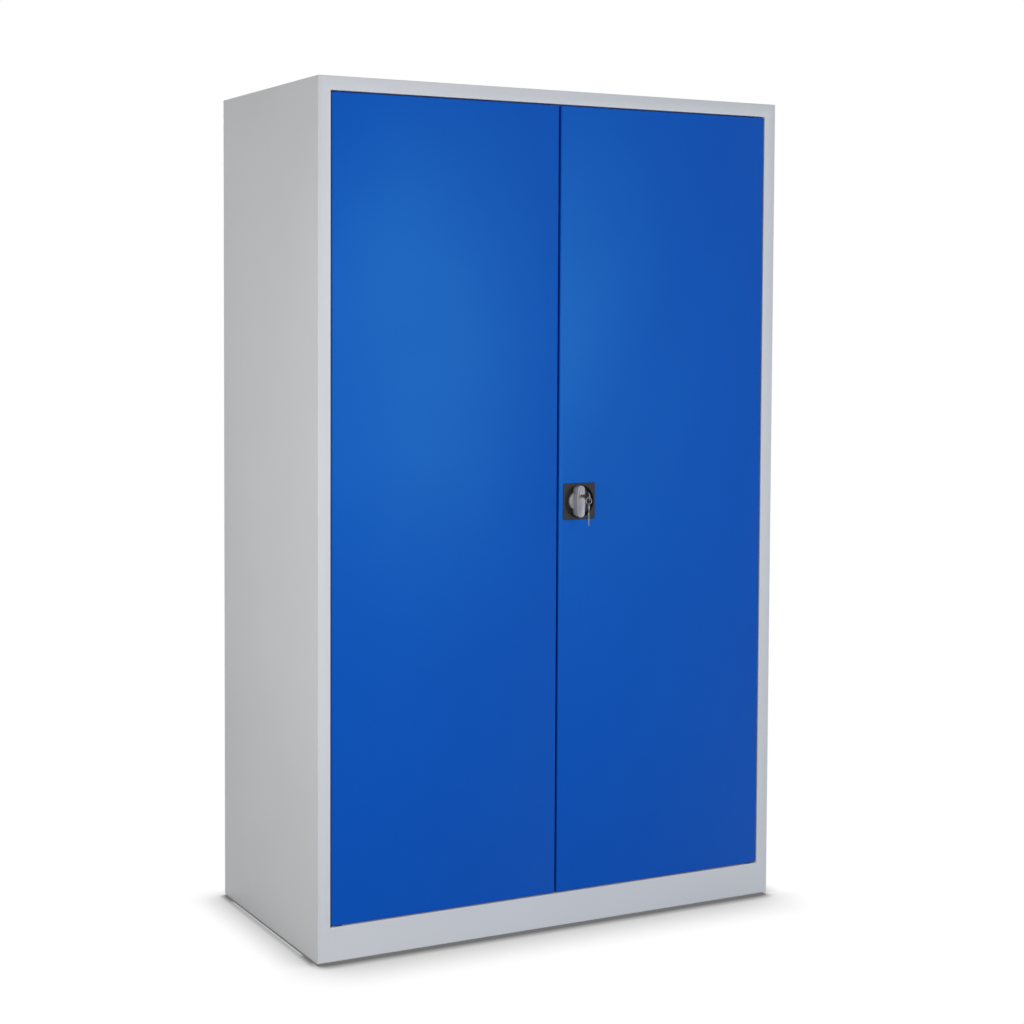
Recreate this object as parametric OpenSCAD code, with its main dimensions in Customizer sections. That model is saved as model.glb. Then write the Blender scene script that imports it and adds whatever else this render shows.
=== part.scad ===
// Tool cabinet with two hinged doors, folded from steel sheet.
// X runs to the right, Y to the back and Z up. The origin is on the floor, under the middle
// of the whole object, with the key in its lock counted in.

/* [Carcass] */
// Width over the side panels
width = 1200; // [900:10:1400]
// Depth from the front frame to the back, without the lock
depth = 600; // [450:10:700]
// Height from the floor to the roof
height = 1950; // [1700:10:2100]
// Thickness of the folded sheet
sheet = 1; // [0.8:0.1:1.2]
// Outer radius of the bends
bend = 2; // [1.5:0.5:3]
// Visible width of the front stiles
stile_w = 30; // [24:1:45]
// Depth of the fold beside the door edge
stile_return = 25; // [24:1:30]
// Width of the last fold inside the stile
stile_lip = 12; // [8:1:16]
// Height of the rail over the doors
top_rail = 31; // [30:1:50]
// Depth of the fold above the doors
rail_return = 40; // [38:1:50]
// Height of the plinth under the doors
plinth = 77; // [60:1:110]
// Depth of the fold under the plinth
plinth_return = 20; // [12:1:30]
// Width of the folds at the back corners
rear_return = 20; // [15:1:30]
// Height of the fold at the back of the floor
floor_skirt = 60; // [30:1:70]

/* [Back panel] */
// Number of pressed beads
bead_count = 3; // [1:1:5]
// Width of a bead at its foot
bead_w = 40; // [30:1:60]
// Depth of a bead
bead_deep = 5; // [3:0.5:8]
// Distance between the two wall-fixing holes
fixing_spacing = 1000; // [700:10:1000]
// Diameter of the wall-fixing holes
fixing_d = 9; // [7:0.5:11]
// Distance of the wall-fixing holes below the roof
fixing_drop = 60; // [40:5:100]

/* [Feet] */
// Gap between the cabinet and the floor
foot_h = 5; // [4:0.5:8]
// Diameter of a foot plate
foot_d = 36; // [25:1:44]
// Diameter of the levelling screw
foot_screw = 8; // [6:1:10]
// Length of the levelling screw above the foot plate
foot_screw_len = 30; // [24:1:40]
// Side of the gusset that takes a foot
gusset = 60; // [50:1:80]
// Thickness of the gusset
gusset_t = 3; // [2:0.5:4]

/* [Doors] */
// Depth of a door
door_deep = 22; // [21:0.5:22.5]
// Distance of the door face behind the front frame
door_recess = 1.5; // [0.5:0.25:1.5]
// Gap between a door and the frame
door_gap = 2.5; // [1.5:0.1:2.5]
// Gap between the two doors
centre_gap = 5; // [2:0.5:5]
// Width of the folded lip at the back of a door
door_lip = 12; // [10:1:14]
// Width of the door stiffener's crown
hat_crown = 36; // [24:1:60]
// Depth of the door stiffener
hat_deep = 16; // [10:1:18]
// Width of the door stiffener's welding flanges
hat_flange = 16; // [12:1:24]
// Distance of the stiffener's ends from the door's ends
hat_end = 30; // [20:1:80]

/* [Hinges] */
// Distance of a hinge pin from the door's outer edge
pivot_inset = 20; // [19:0.5:22]
// Distance of a hinge pin behind the door face
pivot_back = 9; // [8.5:0.5:10]
// Diameter of a hinge pin
pin_d = 8; // [6:0.5:8]
// Length of a hinge pin past the frame
pin_reach = 14; // [12:1:20]
// Diameter of a hinge pin's head
pin_head = 16; // [12:0.5:18]
// Wall of a hinge bush
bush_wall = 2; // [1.5:0.5:2]
// Length of a hinge bush
bush_len = 10; // [8:1:12]
// Radial clearance of turning fits
running = 0.05; // [0.03:0.01:0.08]

/* [Door stops] */
// Leg of the stop angles
stop_leg = 15; // [12:1:18]
// Distance of the stop angles from the door opening's sides
stop_inset = 44; // [43:1:60]
// Diameter of a rubber buffer
buffer_d = 10; // [8:1:12]
// Distance of the rubber buffers from the middle
buffer_x = 130; // [110:5:300]

/* [Shelves] */
// Height of a shelf's folded edge
shelf_edge = 30; // [20:1:40]
// Width of the lip under a shelf's edge
shelf_lip = 14; // [10:1:20]
// Distance of a shelf behind the front frame
shelf_setback = 62; // [60:1:80]
// Distance of a shelf in front of the cabinet's back
shelf_back_gap = 18; // [14:1:60]
// Distance between the slots
slot_pitch = 50; // [50:1:60]
// Height of the first slot over the floor panel
slot_first = 50; // [40:1:80]
// Number of slots below the one that holds the lowest shelf
low_slot_count = 6; // [3:1:7]
// Number of slots from shelf to shelf
step_slot_count = 7; // [5:1:7]
// Width of a slot
slot_w = 13; // [12:0.5:15]
// Height of a slot
slot_h = 4; // [3.5:0.5:5]
// Width of a shelf upright
upright_w = 26; // [24:1:34]
// Depth of a shelf upright
upright_deep = 15; // [12:1:18]
// Distance of the uprights from the shelf's front and back edges
upright_inset = 30; // [25:1:60]
// Thickness of a shelf clip
clip_t = 1.5; // [1.2:0.1:2]
// Width of a shelf clip
clip_w = 12; // [10:0.5:12]
// Length of a shelf clip's tongue
clip_reach = 13; // [10:1:16]
// Height of a shelf clip's back
clip_h = 24; // [16:1:30]
// Length of a shelf clip's hook below the edge of its slot
clip_hook = 5; // [3:0.5:6]

/* [Lock] */
// Distance of the lock from the right door's free edge
lock_inset = 53; // [53:0.5:60]
// Height of the lock over the floor
lock_z = 1002; // [900:5:1100]
// Side of the square lock plate
plate = 85; // [84:0.5:95]
// Thickness of the lock plate in front of the door
plate_t = 2.5; // [2:0.5:4]
// Corner radius of the lock plate
plate_r = 4; // [3:0.5:8]
// Diameter of the round bowl in the lock plate
bowl_d = 77; // [77:0.5:79]
// Wall of the bowl
bowl_wall = 1.5; // [1:0.25:2]
// Depth of the bowl behind the door face
bowl_deep = 13.5; // [12.5:0.5:14]
// Length of the handle
grip_len = 75; // [60:1:76]
// Width of the handle in the middle
grip_w = 23; // [20:0.5:26]
// Width of the handle near its ends
grip_end_w = 19; // [14:0.5:20]
// Distance of the handle's face in front of the front frame
grip_reach = 12; // [8:0.5:14]
// Diameter of the handle's disc
disc_d = 44; // [36:1:56]
// Thickness of the handle's disc
disc_t = 7; // [5:0.5:8]
// Diameter of the handle's hub where it turns in the bowl
hub_d = 14; // [12:1:18]
// Diameter of the spindle behind the hub
spindle_d = 10; // [8:0.5:10]

/* [Bolt work] */
// Distance of the cam studs from the spindle
stud_throw = 17; // [17:0.5:18]
// Diameter of a cam stud
stud_d = 6; // [4:0.5:6]
// Thickness of the cam
cam_t = 3; // [2:0.5:4]
// Width of the cam's tongue
tongue_w = 22; // [16:1:30]
// Length of the cam's tongue from the spindle
tongue_len = 68; // [66:0.5:70]
// Width of a lock rod
rod_w = 10; // [8:0.5:12]
// Thickness of a lock rod
rod_t = 3; // [2:0.5:3]
// Length of the taper at a lock rod's tip
rod_tip = 8; // [4:1:12]
// Clearance of the rods in their guides and slots
rod_play = 0.3; // [0.2:0.1:0.5]
// Length of a rod guide along its rod
guide_len = 14; // [10:1:30]
// Distance of the outer rod guides from the door's ends
guide_end = 120; // [60:5:200]

/* [Keys] */
// Distance of the key's end in front of the front frame
key_reach = 50; // [46:1:56]
// Height of the lock cylinder over the middle of the handle
cylinder_up = 13.5; // [8:0.5:16]
// Outer diameter of the lock cylinder
cylinder_d = 15; // [14:0.5:16]
// Depth of the lock cylinder in the handle
cylinder_deep = 14; // [12:0.5:16]
// Diameter of the plug that the key turns
plug_d = 10.5; // [9:0.5:12]
// Thickness of a key
key_t = 2.2; // [1.8:0.1:2.6]
// Radius of a key's bow
key_bow = 12; // [10:0.5:13]
// Height of a key's blade
blade_h = 7; // [6:0.5:8]
// Length of the spare key's blade
blade_len = 31; // [26:1:34]
// Depth of the key in the plug
key_in = 12; // [8:0.5:12]
// Diameter of the hole in a key's bow
key_hole = 5; // [4.5:0.5:6]
// Radius of the key ring to the middle of its wire
ring_r = 7.4; // [7:0.2:12]
// Diameter of the key ring's wire
ring_wire = 1.6; // [1.2:0.2:2]
// Angle by which the spare key hangs turned from the key in the lock
spare_turn = 25; // [0:5:30]

/* [Hidden] */

light_grey = [0.80, 0.82, 0.82];
door_blue = [0.04, 0.27, 0.62];
zinc = [0.72, 0.72, 0.70];
black = [0.10, 0.10, 0.11];
silver = [0.62, 0.63, 0.65];

past = 1; // how far a cut reaches past what it cuts
sink = 0.5; // how far joined shapes reach into each other
bend_steps = 4; // flats round a right-angled bend
turn_gap = 0.5; // gap along the axis between pieces that turn past each other
snug = 0.05; // radial gap of a piece that is pushed into its hole

// The planes that the whole carcass is set out from; the spare key's bow stands furthest out
bow_web = 2.5;
bow_hole_out = key_bow - key_hole / 2 - bow_web;
spare_out = key_bow * cos(spare_turn) + key_t / 2 * sin(spare_turn);
half_w = width / 2;
face_y = -(depth - key_reach + key_bow - bow_hole_out - spare_out) / 2;
back_y = face_y + depth;
opening_x = half_w - stile_w;
opening_top = height - top_rail;
deck_z = foot_h + plinth;
inner_x = half_w - sheet;
stop_y = face_y + stile_return;
stop_x = opening_x - stop_inset;

// The doors, set out for the left one
door_y = face_y + door_recess;
door_back = door_y + door_deep;
door_left = -opening_x + door_gap;
door_right = -centre_gap / 2;
door_bottom = deck_z + door_gap;
door_top = opening_top - door_gap;
door_w = door_right - door_left;
door_h = door_top - door_bottom;
buffer_play = 0.1;
buffer_t = stop_y - door_back - buffer_play;

// The hinges
pivot_x = opening_x - door_gap - pivot_inset;
pivot_y = door_y + pivot_back;
pin_head_t = 3;
bush_d = pin_d + 2 * (running + bush_wall);
bush_rim = 2.5;
bush_rim_t = 1.5;

// The feet
foot_x = inner_x - gusset / 2;
foot_y = [stop_y + gusset / 2, back_y - sheet - gusset / 2];
foot_edge = 1;
foot_nut = foot_screw * 1.6;
foot_nut_t = foot_screw * 0.8;

// The shelves
shelf_play = 0.5;
shelf_deep = depth - shelf_setback - shelf_back_gap;
upright_y = [face_y + shelf_setback + upright_inset,
    face_y + shelf_setback + shelf_deep - upright_inset - upright_w];
upright_face = inner_x - upright_deep;
shelf_x = upright_face - clip_t - shelf_play;
slot_count = floor((height - sheet - deck_z - slot_first - slot_h) / slot_pitch);

// The lock plate, its bowl and what holds them to the door
lock_x = centre_gap / 2 + lock_inset;
bowl_out = bowl_d + 2 * bowl_wall;
bowl_floor_t = 2;
bowl_back = door_y + bowl_deep;
bowl_floor = bowl_back - bowl_floor_t;
bowl_play = 0.2;
retainer_t = 1.5;
plate_screw = 3.5;
plate_screw_play = 0.2;
plate_screw_in = 7.5;
plate_screw_at = plate / 2 - plate_screw_in;
plate_screw_head_t = 1.8;
plate_skin = 1;

// The handle
disc_back = bowl_floor - turn_gap;
disc_edge = 4;
grip_face = face_y - grip_reach;
grip_sink = 3;
grip_back = disc_back - grip_sink;
grip_edge = 2;
circlip_t = 1.5;
circlip_rim = 3;
circlip_mouth = 3;

// The bolt work: the studs swing in an arc while the rods slide straight
rod_y = door_back - sheet - turn_gap - rod_t;
cam_y = door_back + turn_gap;
cam_back = cam_y + cam_t;
cam_rim = 2;
tongue_r = 4;
nut_across = 15;
nut_t = 4;
stud_side = stud_throw * sin(45);
stud_play = 0.1;
stud_slack = stud_throw * (sin(22.5) - sin(45) / 2) + stud_play;
eye_play = 0.3;
eye_in = stud_side - stud_d / 2 - eye_play;
eye_out = stud_throw + stud_d / 2 + eye_play;
eye_wall = 3;
eye_end = 3.5;
eye_half_h = stud_d / 2 + stud_slack + eye_end;
rod_side = (eye_in + eye_out) / 2;
rod_end_gap = 0.5;
keeper_play = 1.5;
guide_wall = 4;
guide_cap = 2;
guide_window = 3;

// The keys: one in its cylinder, one that hangs on the ring
cylinder_z = lock_z + cylinder_up;
cylinder_proud = 1;
cylinder_face = grip_face - cylinder_proud;
cylinder_chamfer = 1;
cylinder_end_t = 1;
key_play = 0.1;
key_tip = 2;
key_collar = 4;
key_teeth = 5;
ring_play = 0.4;
bow_y = face_y - key_reach + key_bow;
key_hole_y = bow_y - bow_hole_out;
ring_drop = key_hole / 2 - ring_wire / 2 - ring_play;
ring_pivot_z = cylinder_z - ring_drop;
ring_low_z = ring_pivot_z - 2 * ring_r;
spare_hole_z = ring_low_z - ring_drop;

function shelf_bottom(n) = deck_z + slot_first + (low_slot_count + (n - 1) * step_slot_count) * slot_pitch;

// Folded sheet: the sheet lies to the right of the path, and each bend is an arc
function heading(p, q) = (q - p) / norm(q - p);
function left_of(d) = [-d.y, d.x];
function spun(v, a) = [v.x * cos(a) - v.y * sin(a), v.x * sin(a) + v.y * cos(a)];
function turn(a, b) = atan2(a.x * b.y - a.y * b.x, a * b);

function bend_arc(p, a, b, shift) =
    let(angle = turn(a, b), side = sign(angle))
    let(reach = side > 0 ? bend - sheet : bend)
    let(radius = side > 0 ? bend - sheet + shift : bend - shift)
    let(centre = p - a * reach * tan(abs(angle) / 2) + left_of(a) * side * reach)
    [for (i = [0:bend_steps]) centre - spun(left_of(a) * side * radius, angle * i / bend_steps)];

function beside(p, d, shift) = [p - left_of(d) * shift];

function sheet_side(path, shift) =
    let(last = len(path) - 1)
    [for (i = [0:last])
        for (q = i == 0 ? beside(path[0], heading(path[0], path[1]), shift)
            : i == last ? beside(path[last], heading(path[last - 1], path[last]), shift)
            : bend_arc(path[i], heading(path[i - 1], path[i]), heading(path[i], path[i + 1]), shift)) q];

function reversed(list) = [for (i = [len(list) - 1:-1:0]) list[i]];

module folded(path) polygon(concat(sheet_side(path, 0), reversed(sheet_side(path, sheet))));

// A flat shape in the YZ plane, drawn out along X
module along_x(x0, x1) translate([x0, 0, 0]) rotate([90, 0, 90]) linear_extrude(x1 - x0) children();

// A flat shape in the XZ plane, drawn out along Y
module along_y(y0, y1) translate([0, y1, 0]) rotate([90, 0, 0]) linear_extrude(y1 - y0) children();

// A round bar or a hole along Y
module rod_y_round(x, z, d, y0, y1) {
    translate([x, y0, z]) rotate([-90, 0, 0]) cylinder(d = d, h = y1 - y0, $fn = 48);
}

// A round bar or a hole along Z
module rod_z_round(d, z0, z1) translate([0, 0, z0]) cylinder(d = d, h = z1 - z0, $fn = 48);

module block(low, high) translate(low) cube(high - low);

// Keeps a shape and adds its mirror image on the other side of the cabinet
module both_sides() {
    children();
    mirror([1, 0, 0]) children();
}

module round_square(side, r) {
    corner = side / 2 - r;
    square([side, 2 * corner], center = true);
    square([2 * corner, side], center = true);
    for (x = [-corner, corner]) for (z = [-corner, corner]) translate([x, z]) circle(r = r, $fn = 32);
}

// Square with its two front corners rounded, front edge on y = 0
function round_front(w, d, r) = concat([[w, d], [0, d]],
    [for (i = [0:bend_steps]) [r - r * cos(90 * i / bend_steps), r - r * sin(90 * i / bend_steps)]],
    [for (i = [0:bend_steps]) [w - r + r * sin(90 * i / bend_steps), r - r * cos(90 * i / bend_steps)]]);

// Block with its face on y = 0 and the four edges round that face rounded
module soft_block(w, d, h, r) {
    intersection() {
        linear_extrude(h) polygon(round_front(w, d, r));
        rotate([90, 0, 90]) linear_extrude(w) polygon([for (p = round_front(h, d, r)) [p.y, p.x]]);
    }
}

// Folded pan with its face on y = 0, turned edges and a lip round its open back
module pan(w, d, h, lip) {
    edge = sheet + lip;
    difference() {
        soft_block(w, d, h, bend);
        translate([sheet, sheet, sheet])
            soft_block(w - 2 * sheet, d - 2 * sheet, h - 2 * sheet, bend - sheet);
        block([edge, d / 2, edge], [w - edge, d + past, h - edge]);
    }
}

// Carcass

module side_panel() {
    path = [[-opening_x - stile_lip, stop_y], [-opening_x, stop_y], [-opening_x, face_y],
        [-half_w, face_y], [-half_w, back_y], [-half_w + rear_return, back_y]];
    difference() {
        translate([0, 0, foot_h]) linear_extrude(height - sheet - foot_h) folded(path);
        block([-half_w - past, face_y - past, height - bend], [0, face_y + bend, height]);
        block([-half_w - past, back_y - bend, height - bend], [0, back_y + past, height]);
    }
}

module left_side_panel() color(light_grey) side_panel();
module right_side_panel() color(light_grey) mirror([1, 0, 0]) side_panel();

module pin_holes(z0, z1) {
    both_sides() translate([-pivot_x, pivot_y, 0]) rod_z_round(pin_d + 2 * snug, z0, z1);
}

module rod_opening(x, play, z0, z1) {
    half = rod_w / 2 + play;
    block([x - half, rod_y - play, z0], [x + half, rod_y + rod_t + play, z1]);
}

module roof_panel() color(light_grey) {
    path = [[face_y + rail_return, opening_top], [face_y, opening_top], [face_y, height],
        [back_y, height], [back_y, height - rear_return]];
    rail_low = opening_top - past;
    rail_high = opening_top + sheet + past;
    difference() {
        along_x(-half_w, half_w) folded(path);
        both_sides() {
            block([-half_w - past, face_y - past, rail_low],
                [-opening_x, face_y + rail_return + past, height - bend]);
            block([-half_w - past, back_y - bend, 0], [-half_w + rear_return, back_y + past, height - bend]);
        }
        pin_holes(rail_low, rail_high);
        rod_opening(lock_x - rod_side, keeper_play, rail_low, rail_high);
    }
}

module floor_panel() color(light_grey) {
    path = [[face_y + plinth_return, foot_h], [face_y, foot_h], [face_y, deck_z],
        [back_y, deck_z], [back_y, deck_z - floor_skirt]];
    deck_low = deck_z - sheet - past;
    deck_high = deck_z + past;
    difference() {
        along_x(-inner_x, inner_x) folded(path);
        both_sides() {
            block([-half_w, face_y - past, 0], [-opening_x, stop_y, deck_high]);
            block([-half_w, back_y - bend, 0], [-half_w + rear_return, back_y + past, deck_high]);
        }
        pin_holes(deck_low, deck_high);
        rod_opening(lock_x + rod_side, keeper_play, deck_low, deck_high);
    }
}

module back_panel() color(light_grey) {
    y = back_y - sheet;
    edge = half_w - bend;
    pitch = width / (bead_count + 1);
    bead = [[-bead_w / 2, 0], [-bead_w / 2 + bead_deep, -bead_deep],
        [bead_w / 2 - bead_deep, -bead_deep], [bead_w / 2, 0]];
    beads = [for (i = [1:bead_count]) for (p = bead) [-half_w + i * pitch + p.x, y + p.y]];
    difference() {
        translate([0, 0, deck_z]) linear_extrude(height - bend - deck_z)
            folded(concat([[-edge, y]], beads, [[edge, y]]));
        for (x = [-fixing_spacing / 2, fixing_spacing / 2])
            rod_y_round(x, height - fixing_drop, fixing_d, y - sheet - past, y + past);
    }
}

module top_stop_angle() color(light_grey) {
    along_x(-stop_x, stop_x) folded([[stop_y, opening_top - stop_leg], [stop_y, opening_top],
        [stop_y + stop_leg, opening_top]]);
}

module floor_stop_angle() color(light_grey) {
    along_x(-stop_x, stop_x) folded([[stop_y + stop_leg, deck_z], [stop_y, deck_z],
        [stop_y, deck_z + stop_leg]]);
}

module door_buffers() color(black) {
    low_z = deck_z + stop_leg - buffer_d / 2;
    high_z = opening_top - stop_leg + buffer_d / 2;
    for (x = [-buffer_x, buffer_x]) for (z = [low_z, high_z])
        rod_y_round(x, z, buffer_d, stop_y - buffer_t, stop_y);
}

module corner_gussets() color(zinc) {
    for (x = [-foot_x, foot_x]) for (y = foot_y) translate([x, y, foot_h]) difference() {
        linear_extrude(gusset_t) round_square(gusset, bend);
        rod_z_round(foot_screw + 4 * snug, -past, gusset_t + past);
    }
}

module levelling_feet() color(black) {
    for (x = [-foot_x, foot_x]) for (y = foot_y) translate([x, y, 0]) {
        cylinder(d1 = foot_d - 2 * foot_edge, d2 = foot_d, h = foot_edge, $fn = 64);
        translate([0, 0, foot_edge]) cylinder(d = foot_d, h = foot_h - foot_edge, $fn = 64);
        rod_z_round(foot_screw, 0, foot_h + foot_screw_len);
        translate([0, 0, foot_h + gusset_t]) cylinder(d = foot_nut, h = foot_nut_t, $fn = 6);
    }
}

// Shelves

module upright(y0) {
    y1 = y0 + upright_w;
    slot_y = (y0 + y1 - slot_w) / 2;
    slot_z = deck_z + slot_first - clip_t;
    difference() {
        translate([0, 0, deck_z]) linear_extrude(height - sheet - deck_z)
            folded([[-inner_x, y1], [-upright_face, y1], [-upright_face, y0], [-inner_x, y0]]);
        for (i = [0:slot_count])
            translate([-upright_face - 2 * sheet, slot_y, slot_z + i * slot_pitch])
                cube([3 * sheet, slot_w, slot_h]);
    }
}

module left_front_upright() color(light_grey) upright(upright_y[0]);
module left_rear_upright() color(light_grey) upright(upright_y[1]);
module right_front_upright() color(light_grey) mirror([1, 0, 0]) upright(upright_y[0]);
module right_rear_upright() color(light_grey) mirror([1, 0, 0]) upright(upright_y[1]);

module shelf(n) color(light_grey) {
    translate([-shelf_x, face_y + shelf_setback, shelf_bottom(n) + shelf_edge]) rotate([-90, 0, 0])
        pan(2 * shelf_x, shelf_edge, shelf_deep, shelf_lip);
}

// A clip rests on the lower edge of its slot and hooks down behind it, and its tongue carries the shelf
module shelf_clip(y, z) {
    front = -upright_face;
    behind = front - sheet;
    tip = front + clip_t + clip_reach;
    low = z - clip_t;
    profile = [[tip, z], [behind - clip_t, z], [behind - clip_t, low - clip_hook],
        [behind, low - clip_hook], [behind, low], [front, low], [front, z - clip_h],
        [front + clip_t, z - clip_h], [front + clip_t, low], [tip, low]];
    along_y(y - clip_w / 2, y + clip_w / 2) polygon(profile);
}

module shelf_clips(n) color(zinc) {
    both_sides() for (y = upright_y) shelf_clip(y + upright_w / 2, shelf_bottom(n));
}

// Hinges

// A pin with its head under or over the sheet that it goes through
module hinge_pin(sheet_z) {
    translate([-pivot_x, pivot_y, sheet_z]) {
        rod_z_round(pin_head, -pin_head_t, 0);
        rod_z_round(pin_d, -pin_head_t, sheet + pin_reach);
    }
}

module hinge_pins() color(zinc) both_sides() {
    hinge_pin(deck_z - sheet);
    translate([0, 0, opening_top + sheet]) mirror([0, 0, 1]) hinge_pin(0);
}

module hinge_washers() color(zinc) {
    both_sides() translate([-pivot_x, pivot_y, deck_z]) difference() {
        rod_z_round(pin_head, 0, door_gap);
        rod_z_round(pin_d + 2 * snug, -past, door_gap + past);
    }
}

// A bush in each end of a door; the flat on its flange lies along the door's face and keeps it from turning
module door_bushes() {
    flange_r = bush_d / 2 + bush_rim;
    for (end = [0, 1]) translate([-pivot_x, pivot_y, end == 0 ? door_bottom : door_top]) mirror([0, 0, end])
        difference() {
            union() {
                rod_z_round(bush_d, 0, bush_len);
                intersection() {
                    rod_z_round(2 * flange_r, sheet, sheet + bush_rim_t);
                    block([-flange_r, bend + snug - pivot_back, 0], [flange_r, flange_r, bush_len]);
                }
            }
            rod_z_round(pin_d + 2 * running, -past, bush_len + past);
        }
}

module left_door_bushes() color(zinc) door_bushes();
module right_door_bushes() color(zinc) mirror([1, 0, 0]) door_bushes();

// Doors

module door_panel() {
    difference() {
        translate([door_left, door_y, door_bottom]) pan(door_w, door_deep, door_h, door_lip);
        for (z = [door_bottom, door_top - sheet])
            translate([-pivot_x, pivot_y, 0]) rod_z_round(bush_d + 2 * snug, z - past, z + sheet + past);
    }
}

module left_door_panel() color(door_blue) door_panel();

module right_door_panel() color(door_blue) {
    difference() {
        mirror([1, 0, 0]) door_panel();
        translate([lock_x, 0, lock_z]) {
            rod_y_round(0, 0, bowl_out + 2 * bowl_play, door_y - past, door_y + sheet + past);
            at_plate_screws(plate_screw + 2 * plate_screw_play, door_y - past, door_y + sheet + past);
        }
        rod_opening(lock_x - rod_side, rod_play, door_top - sheet - past, door_top + past);
        rod_opening(lock_x + rod_side, rod_play, door_bottom - past, door_bottom + sheet + past);
    }
}

// Hat-shaped stiffener on the inside of a door
module door_stiffener() {
    mid = (door_left + door_right) / 2;
    foot = door_y + 2 * sheet;
    crown = door_y + sheet + hat_deep;
    half = hat_crown / 2;
    path = [[mid - half - hat_flange, foot], [mid - half, foot], [mid - half, crown],
        [mid + half, crown], [mid + half, foot], [mid + half + hat_flange, foot]];
    translate([0, 0, door_bottom + hat_end]) linear_extrude(door_h - 2 * hat_end) folded(path);
}

module left_door_stiffener() color(door_blue) door_stiffener();
module right_door_stiffener() color(door_blue) mirror([1, 0, 0]) door_stiffener();

// Lock; its pieces are set out round the handle's axis

module at_plate_screws(d, y0, y1) {
    for (x = [-1, 1]) for (z = [-1, 1]) rod_y_round(x * plate_screw_at, z * plate_screw_at, d, y0, y1);
}

module lock_plate() color(black) translate([lock_x, 0, lock_z]) {
    plate_front = door_y - plate_t;
    difference() {
        union() {
            along_y(plate_front, door_y) round_square(plate, plate_r);
            rod_y_round(0, 0, bowl_out, door_y - sink, bowl_back);
        }
        rod_y_round(0, 0, bowl_d, plate_front - past, bowl_floor);
        rod_y_round(0, 0, hub_d + 2 * running, bowl_floor - past, bowl_back + past);
        at_plate_screws(plate_screw, plate_front + plate_skin, door_y + past);
    }
}

module lock_retainer() color(zinc) translate([lock_x, 0, lock_z]) {
    front = door_y + sheet;
    back = front + retainer_t;
    difference() {
        along_y(front, back) square(plate, center = true);
        rod_y_round(0, 0, bowl_out + 2 * bowl_play, front - past, back + past);
        at_plate_screws(plate_screw + 2 * plate_screw_play, front - past, back + past);
    }
}

module lock_screws() color(zinc) translate([lock_x, 0, lock_z]) {
    seat = door_y + sheet + retainer_t;
    at_plate_screws(plate_screw - 2 * snug, door_y - plate_t + plate_skin + plate_screw_play, seat + sink);
    at_plate_screws(2 * plate_screw, seat, seat + plate_screw_head_t);
}

// Guides that hold the flat rods to the inside of the right door
module rod_guides() color(black) {
    front = door_y + sheet;
    half_len = guide_len / 2;
    spread = [guide_end, (door_h / 2 + guide_end) / 2];
    for (side = [-1, 1]) for (gap = spread) {
        x = lock_x + side * rod_side;
        z = side < 0 ? door_top - gap : door_bottom + gap;
        outer = rod_w / 2 + guide_wall;
        window = half_len - guide_window;
        difference() {
            block([x - outer, front, z - half_len], [x + outer, rod_y + rod_t + guide_cap, z + half_len]);
            rod_opening(x, rod_play, z - guide_len, z + guide_len);
            block([x - outer - past, front + guide_window, z - window],
                [x + outer + past, rod_y - guide_window, z + window]);
        }
    }
}

// Disc along Y with a round front edge, the body of the handle at one place
module soft_disc(r, y0, y1, edge, faces) {
    rim = [for (a = [0:22.5:90]) [r - edge + edge * cos(a), y1 - y0 - edge + edge * sin(a)]];
    translate([0, y1, 0]) rotate([90, 0, 0]) rotate_extrude($fn = faces)
        polygon(concat([[0, 0], [r, 0]], rim, [[0, y1 - y0]]));
}

module handle_grip() color(silver) translate([lock_x, 0, lock_z]) {
    end = (grip_len - grip_end_w) / 2;
    difference() {
        union() {
            hull() for (spot = [[0, grip_w], [end, grip_end_w], [-end, grip_end_w]])
                translate([0, 0, spot[0]]) soft_disc(spot[1] / 2, grip_face, grip_back, grip_edge, 32);
            soft_disc(disc_d / 2, disc_back - disc_t, disc_back, disc_edge, 64);
            rod_y_round(0, 0, hub_d, disc_back - sink, bowl_back);
            rod_y_round(0, 0, spindle_d, disc_back - sink, cam_back + nut_t);
        }
        rod_y_round(0, cylinder_up, cylinder_d, grip_face - past, grip_face + cylinder_deep);
    }
}

module handle_circlip() color(zinc) translate([lock_x, 0, lock_z]) {
    back = bowl_back + circlip_t;
    difference() {
        rod_y_round(0, 0, hub_d + 2 * circlip_rim, bowl_back, back);
        rod_y_round(0, 0, spindle_d + 2 * snug, bowl_back - past, back + past);
        block([-circlip_mouth / 2, bowl_back - past, 0], [circlip_mouth / 2, back + past, hub_d]);
    }
}

module lock_cylinder() color(silver) translate([lock_x, 0, cylinder_z]) {
    rim = cylinder_d - 2 * snug;
    shoulder = cylinder_face + cylinder_chamfer;
    back = grip_face + cylinder_deep;
    difference() {
        union() {
            rod_y_round(0, 0, rim, shoulder, back);
            translate([0, shoulder, 0]) rotate([90, 0, 0])
                cylinder(d1 = rim, d2 = rim - 2 * cylinder_chamfer, h = cylinder_chamfer, $fn = 48);
        }
        rod_y_round(0, 0, plug_d, cylinder_face - past, back - cylinder_end_t);
    }
}

// Cam with two studs that drive the rods, and a tongue that turns behind the left door
module lock_cam() color(zinc) translate([lock_x, 0, lock_z]) {
    corner = tongue_w / 2 - tongue_r;
    difference() {
        union() {
            along_y(cam_y, cam_back) union() {
                circle(r = stud_throw + stud_d / 2 + cam_rim, $fn = 64);
                translate([-tongue_w / 2, tongue_r - tongue_len]) square([tongue_w, tongue_len - tongue_r]);
                translate([-corner, -tongue_len]) square([2 * corner, tongue_len]);
                for (x = [-corner, corner])
                    translate([x, tongue_r - tongue_len]) circle(r = tongue_r, $fn = 32);
            }
            for (side = [-1, 1])
                rod_y_round(side * stud_side, side * stud_side, stud_d, rod_y - sink, cam_y + sink);
        }
        rod_y_round(0, 0, spindle_d + 2 * snug, cam_y - past, cam_back + past);
    }
}

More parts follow.
